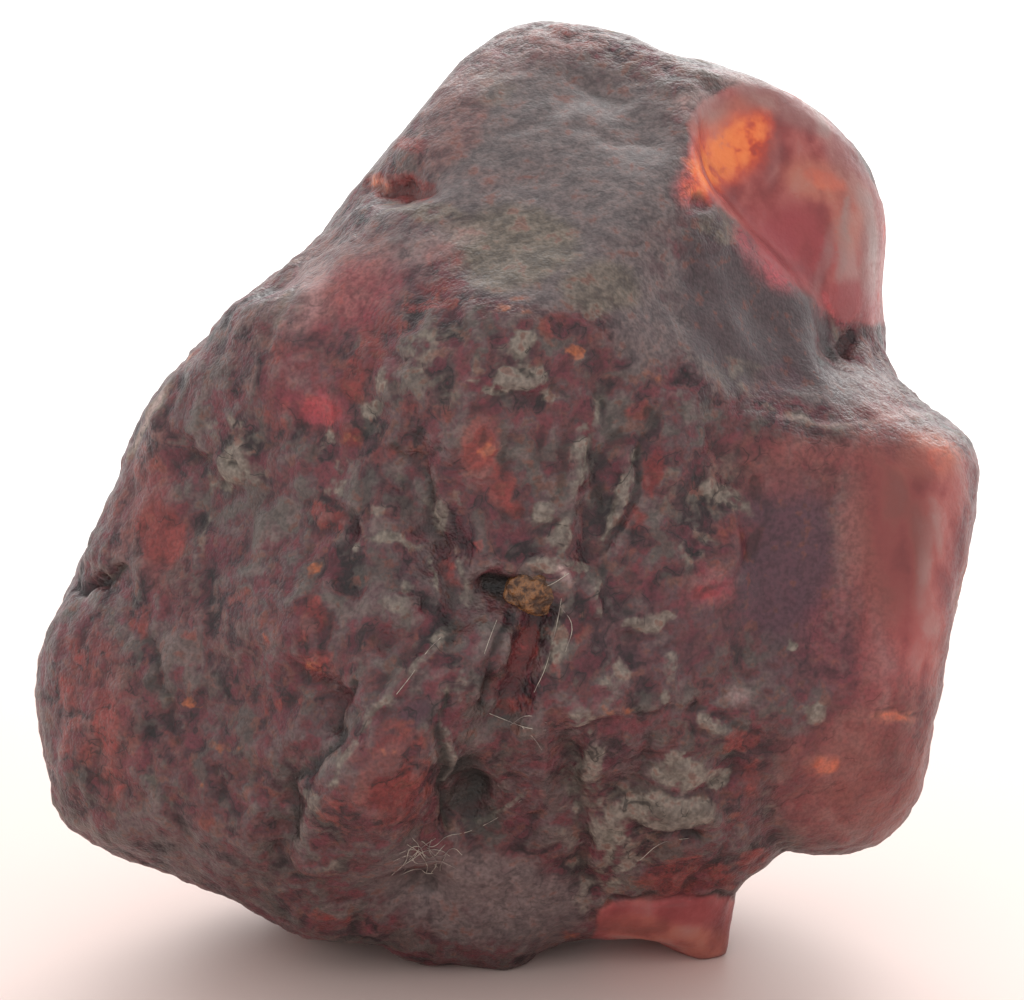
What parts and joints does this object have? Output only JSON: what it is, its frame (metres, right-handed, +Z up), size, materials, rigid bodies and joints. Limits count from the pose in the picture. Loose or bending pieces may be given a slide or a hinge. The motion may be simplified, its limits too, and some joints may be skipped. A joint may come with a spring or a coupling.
{
  "type": "raw amber piece",
  "caption": "Blunt rough lump of raw amber with a dark weathered crust, see-through red windows, a stepped shoulder and a small broken flat to rest on.",
  "frame": {"origin": "middle of the lump's footprint box, on the surface it rests on", "axes": "+Z up, +X to the right across the show face, -Y out of the show face towards the viewer"},
  "size_m": [0.0956, 0.0648, 0.092],
  "materials": {
    "amber": "satin weathered crust over clear dark red amber"
  },
  "bodies": {
    "root": {"amber": "amber"}
  },
  "joints": []
}
